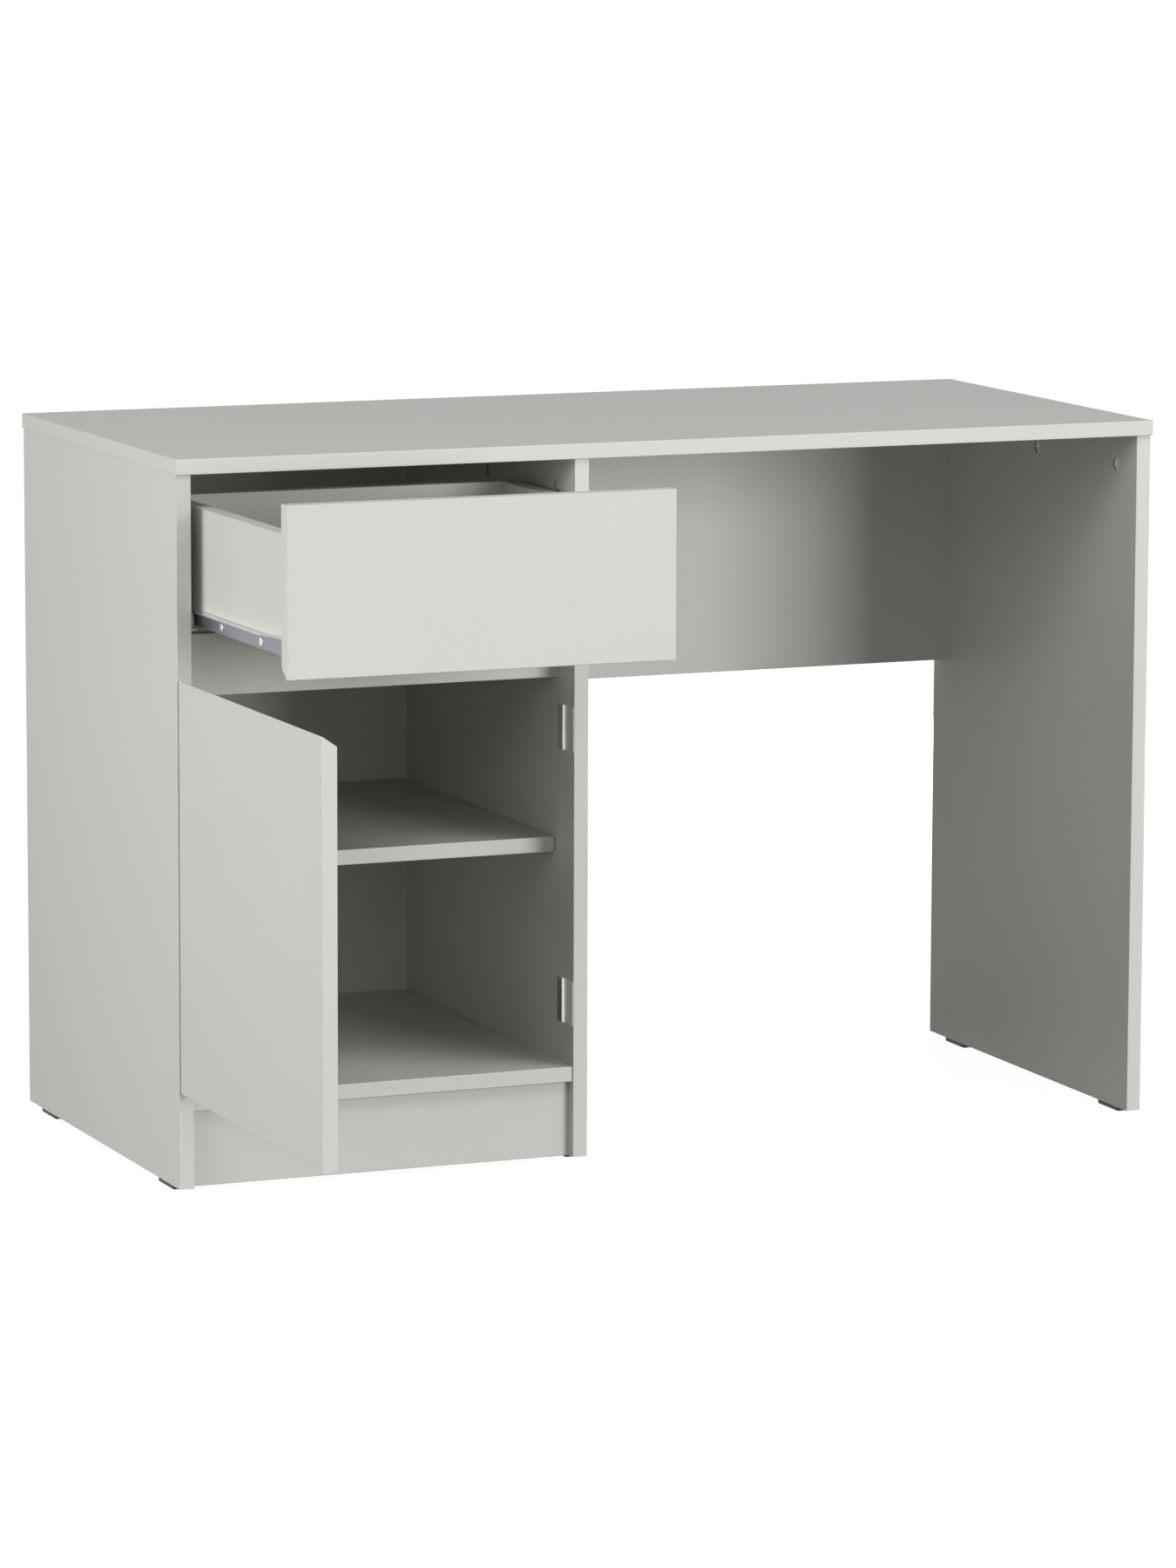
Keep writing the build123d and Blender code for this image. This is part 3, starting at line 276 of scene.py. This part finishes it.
def cast_zinc():
    """Dull die-cast zinc: a slightly pitted skin."""
    graph = Graph("cam_cast_zinc")
    skin = graph.noise(0.9 * MM, 4)
    pits = graph.cells(0.5 * MM, output="Distance")
    graph.set(
        Base_Color=graph.mottled(skin, CAST_ZINC, 0.85, 1.08),
        Metallic=0.65,
        Roughness=graph.spread(skin, 0.26, 0.36),
        Normal=graph.bump(pits, 0.03 * MM, graph.bump(skin, 0.04 * MM)),
    )
    return graph.material


def bright_steel(name, colour, low_roughness, high_roughness):
    """Plated steel with faint turning marks and uneven brightness."""
    graph = Graph(name)
    marks = graph.noise(0.25 * MM, 3)
    cloud = graph.noise(3 * MM, 2)
    graph.set(
        Base_Color=graph.mottled(cloud, colour, 0.9, 1.04),
        Metallic=1.0,
        Roughness=graph.spread(marks, low_roughness, high_roughness),
        Normal=graph.bump(marks, 0.008 * MM),
    )
    return graph.material


def plate_nickel():
    """Nickel plating: satin in front; the land behind the step is smoother and darkened with
    painted shade.
    """
    graph = Graph("plate_nickel")
    marks = graph.noise(0.25 * MM, 3)
    cloud = graph.noise(3 * MM, 2)
    across = graph.vector("DOT_PRODUCT", graph.place, X_AXIS, output="Value")
    outward = graph.vector("DOT_PRODUCT", graph.normal, X_AXIS, output="Value")
    land_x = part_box("upper_mounting_plate")[0].x
    raised = graph.fade(across, land_x + 0.6 * MM, land_x + 0.2 * MM)
    smooth_shaded_land = graph.math("MULTIPLY", raised, graph.fade(outward, -0.8, -0.98))
    plating = graph.mottled(cloud, PLATE_NICKEL, 0.9, 1.04)
    satin = graph.spread(marks, 0.44, 0.5)
    graph.set(
        # The land's colour is darkened as painted shade.
        Base_Color=graph.mix(smooth_shaded_land, plating, shaded(PLATE_NICKEL, 0.55)),
        Metallic=1.0,
        Roughness=graph.math("SUBTRACT", satin, graph.math("MULTIPLY", smooth_shaded_land, 0.3)),
        Normal=graph.bump(marks, 0.008 * MM),
    )
    return graph.material


def black_plastic():
    """Moulded plastic of the glides: spark-eroded grain, a little dusty."""
    graph = Graph("glide_black_plastic")
    grain = graph.noise(0.5 * MM, 2)
    dust = graph.noise(6 * MM, 4)
    graph.set(
        Base_Color=graph.mottled(dust, BLACK_PLASTIC, 0.9, 1.4),
        Roughness=graph.spread(grain, 0.45, 0.62),
        Normal=graph.bump(grain, 0.05 * MM),
    )
    return graph.material


TURNING_RINGS = 9000.0  # radians a metre, so that the rings are 0.7 mm apart


def nylon(node):
    """White nylon roller: rings from turning on its own axis, and a satin tread."""
    graph = Graph(f"{node}_nylon")
    low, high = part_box(node)
    centre = (low + high) / 2
    from_centre = graph.vector("SUBTRACT", graph.place, centre)
    from_axis = graph.vector("MULTIPLY", from_centre, Y_AXIS + Z_AXIS)
    distance = graph.vector("LENGTH", from_axis, output="Value")
    rings = graph.math("SINE", graph.math("MULTIPLY", distance, TURNING_RINGS))
    cloud = graph.noise(4 * MM, 3)
    graph.set(
        Base_Color=graph.mottled(cloud, NYLON, 0.93, 1.02),
        Roughness=graph.spread(cloud, 0.32, 0.44),
        Normal=graph.bump(rings, 0.01 * MM),
        Subsurface_Weight=0.15,
    )
    graph.shader.inputs["Subsurface Radius"].default_value = (0.8 * MM, 0.8 * MM, 0.7 * MM)
    graph.shader.inputs["Subsurface Scale"].default_value = 1.0
    return graph.material


def beech():
    """Plain turned beech with short dark rays."""
    graph = Graph("dowel_beech")
    grain = graph.noise(1.2 * MM, 4, (6, 1, 1))
    rays = graph.fade(graph.noise(0.8 * MM, 1, (4, 1, 1)), 0.62, 0.7)
    wood = graph.mix(graph.spread(grain, 0, 1), shaded(BEECH_DARK, 1), shaded(BEECH_LIGHT, 1))
    graph.set(
        Base_Color=graph.mix(graph.math("MULTIPLY", rays, 0.5), wood, shaded(BEECH_DARK, 0.7)),
        Roughness=graph.spread(grain, 0.55, 0.7),
        Normal=graph.bump(grain, 0.05 * MM),
    )
    return graph.material


# ---------------------------------------------------------------- finishes on the nodes
# The finger bevel's slope: across the board's thickness, and how far it drops on the way.
RUN, DROP = 16.0, 11.0
# Each board's axis through its thickness, the axis of its grain, and its bevel's normal.
BOARDS = {
    "worktop": (Z_AXIS, X_AXIS),
    "left_side_panel": (X_AXIS, Y_AXIS),
    "middle_side_panel": (X_AXIS, Y_AXIS),
    "right_side_panel": (X_AXIS, Y_AXIS),
    "bottom_panel": (Z_AXIS, X_AXIS),
    "shelf": (Z_AXIS, X_AXIS),
    "plinth_board": (Y_AXIS, X_AXIS),
    "front_rail": (Y_AXIS, X_AXIS),
    "modesty_panel": (Y_AXIS, X_AXIS),
    "drawer_left_side": (X_AXIS, Y_AXIS),
    "drawer_right_side": (X_AXIS, Y_AXIS),
    "drawer_back": (Y_AXIS, X_AXIS),
    "drawer_front": (Y_AXIS, X_AXIS, DROP * Y_AXIS - RUN * Z_AXIS),
    "door": (X_AXIS, Y_AXIS, DROP * X_AXIS + RUN * Z_AXIS),
}


def give(node, material):
    """Put one material on the whole of a CAD node."""
    for slot in frame["nodes"][node].material_slots:
        slot.material = material


def dress_nodes():
    """Every CAD node keeps its shape and gets its finish."""
    shared = {
        "cam_zinc": cast_zinc(),
        "fastener_steel": bright_steel("fastener_zinc", BRIGHT_ZINC, 0.2, 0.34),
        "hinge_steel": bright_steel("hinge_nickel", HINGE_NICKEL, 0.24, 0.36),
        "plated_sheet_steel": runner_zinc(),
        "plate_zinc": plate_nickel(),
        "dowel_beech": beech(),
        "glide_plastic": black_plastic(),
    }
    for part in frame["record"]["subparts"]:
        node, slot = part["node"], part["material_slot"]
        if node in BOARDS:
            give(node, melamine_board(node, *BOARDS[node]))
        elif slot == "roller_plastic":
            give(node, nylon(node))
        elif slot in shared:
            give(node, shared[slot])
    give("cabinet_back", fibreboard("cabinet_back", -Y_AXIS))
    give("drawer_bottom", fibreboard("drawer_bottom", Z_AXIS))


# ---------------------------------------------------------------- floor, world and lamps
def seen_rays(graph):
    """1 for rays that show the background: camera, mirror and glass rays."""
    path = graph.node("ShaderNodeLightPath").outputs
    shown = graph.math("MAXIMUM", path["Is Camera Ray"], path["Is Glossy Ray"])
    return graph.math("MAXIMUM", shown, path["Is Transmission Ray"])


FLOOR_SIZE = 60.0
FLOOR_ALBEDO = 0.12
FLOOR_GLOW = (0.95, 1.02)  # near the desk, where lamps add the rest of the white, and far off
FLOOR_FADE = (1.6, 4.5)  # metres from the desk's middle, between near and far off


def make_floor():
    """A pale floor at the foot of the glides, shown white with the desk's soft shadow."""
    bpy.ops.mesh.primitive_plane_add(size=FLOOR_SIZE, location=(0, 0, 0))
    floor = bpy.context.object
    floor.name = "floor"
    graph = Graph("floor_white")
    grey = Vector((FLOOR_ALBEDO, FLOOR_ALBEDO, FLOOR_ALBEDO))
    tone = graph.mix(graph.noise(0.5), shaded(grey, 0.98), shaded(grey, 1))
    distance = graph.vector("LENGTH", graph.place, output="Value")
    glow = graph.fade(distance, *FLOOR_FADE, *FLOOR_GLOW)
    graph.set(
        Base_Color=tone,
        Roughness=0.9,
        Specular_IOR_Level=0.0,
        Emission_Color=(1, 1, 1, 1),
        Emission_Strength=graph.math("MULTIPLY", seen_rays(graph), glow),
    )
    floor.data.materials.append(graph.material)


AMBIENT = 0.03  # the world's strength where nothing mirrors it


def make_world():
    """White to the camera and in reflections, and a dim even light on the desk."""
    world = bpy.data.worlds.new("studio")
    bpy.context.scene.world = world
    world.use_nodes = True
    nodes, links = world.node_tree.nodes, world.node_tree.links
    path = nodes.new("ShaderNodeLightPath").outputs
    shown = nodes.new("ShaderNodeMath")
    shown.operation = "MAXIMUM"
    links.new(path["Is Camera Ray"], shown.inputs[0])
    links.new(path["Is Glossy Ray"], shown.inputs[1])
    clear = nodes.new("ShaderNodeMath")
    clear.operation = "MAXIMUM"
    links.new(shown.outputs[0], clear.inputs[0])
    links.new(path["Is Transmission Ray"], clear.inputs[1])
    strength = nodes.new("ShaderNodeMapRange")
    strength.inputs["To Min"].default_value = AMBIENT
    strength.inputs["To Max"].default_value = 1.0
    links.new(clear.outputs[0], strength.inputs["Value"])
    background = nodes["Background"]
    background.inputs["Color"].default_value = (1, 1, 1, 1)
    links.new(strength.outputs[0], background.inputs["Strength"])


DESK_MIDDLE = Vector((0, 0, 0.45))


def soft_box(name, azimuth, elevation, distance, size, power, colour=(1, 1, 1)):
    """A square area lamp around the desk that faces its middle. Azimuth 0 is in front of it."""
    turn, rise = radians(azimuth), radians(elevation)
    way = Vector((sin(turn) * cos(rise), -cos(turn) * cos(rise), sin(rise)))
    place = DESK_MIDDLE + way * distance
    data = bpy.data.lights.new(name, "AREA")
    data.shape = "SQUARE"
    data.size = size
    data.energy = power
    data.color = colour
    lamp = bpy.data.objects.new(name, data)
    lamp.location = place
    lamp.rotation_mode = "QUATERNION"
    lamp.rotation_quaternion = (DESK_MIDDLE - place).to_track_quat("-Z", "Y")
    lamp.visible_camera = False
    bpy.context.scene.collection.objects.link(lamp)


# Degrees round and above the desk, metres off, metres square, watts, and a colour if not white.
SOFT_BOXES = {
    "right_high": (50, 50, 8.0, 3.0, 214, (0.97, 0.97, 1.0)),
    "right_low": (25, 6, 8.0, 3.0, 450),
    "front_low": (-8, 12, 3.0, 1.5, 7),
    "top_left": (-25, 50, 8.0, 3.0, 136),
    "high_left": (-50, 25, 8.0, 3.0, 76),
    "left_near": (-80, 10, 2.6, 1.5, 35),
    "far_left": (-100, 6, 8.0, 3.0, 57),
    "rear": (150, -1, 3.2, 0.6, 85),
}


# ---------------------------------------------------------------- camera
SENSOR = 36  # millimetres, as the lens
LENS = 156.52
CAMERA_PLACE = (-2.7928, -6.4837, 1.4837)
CAMERA_TURN = (81.169, -0.184, -22.656)  # degrees about X, Y and Z
FARTHEST_SEEN = 200


def make_camera():
    """The photographer's place: to the left of the desk and a little above it."""
    data = bpy.data.cameras.new("camera")
    data.sensor_width = SENSOR
    data.lens = LENS
    data.clip_end = FARTHEST_SEEN
    camera = bpy.data.objects.new("camera", data)
    camera.location = CAMERA_PLACE
    camera.rotation_euler = [radians(angle) for angle in CAMERA_TURN]
    bpy.context.scene.collection.objects.link(camera)
    bpy.context.scene.camera = camera


# ---------------------------------------------------------------- the whole scene
dress_nodes()
make_floor()
make_world()
for lamp_name, settings in SOFT_BOXES.items():
    soft_box(lamp_name, *settings)
make_camera()
bpy.context.scene.view_settings.view_transform = "Standard"
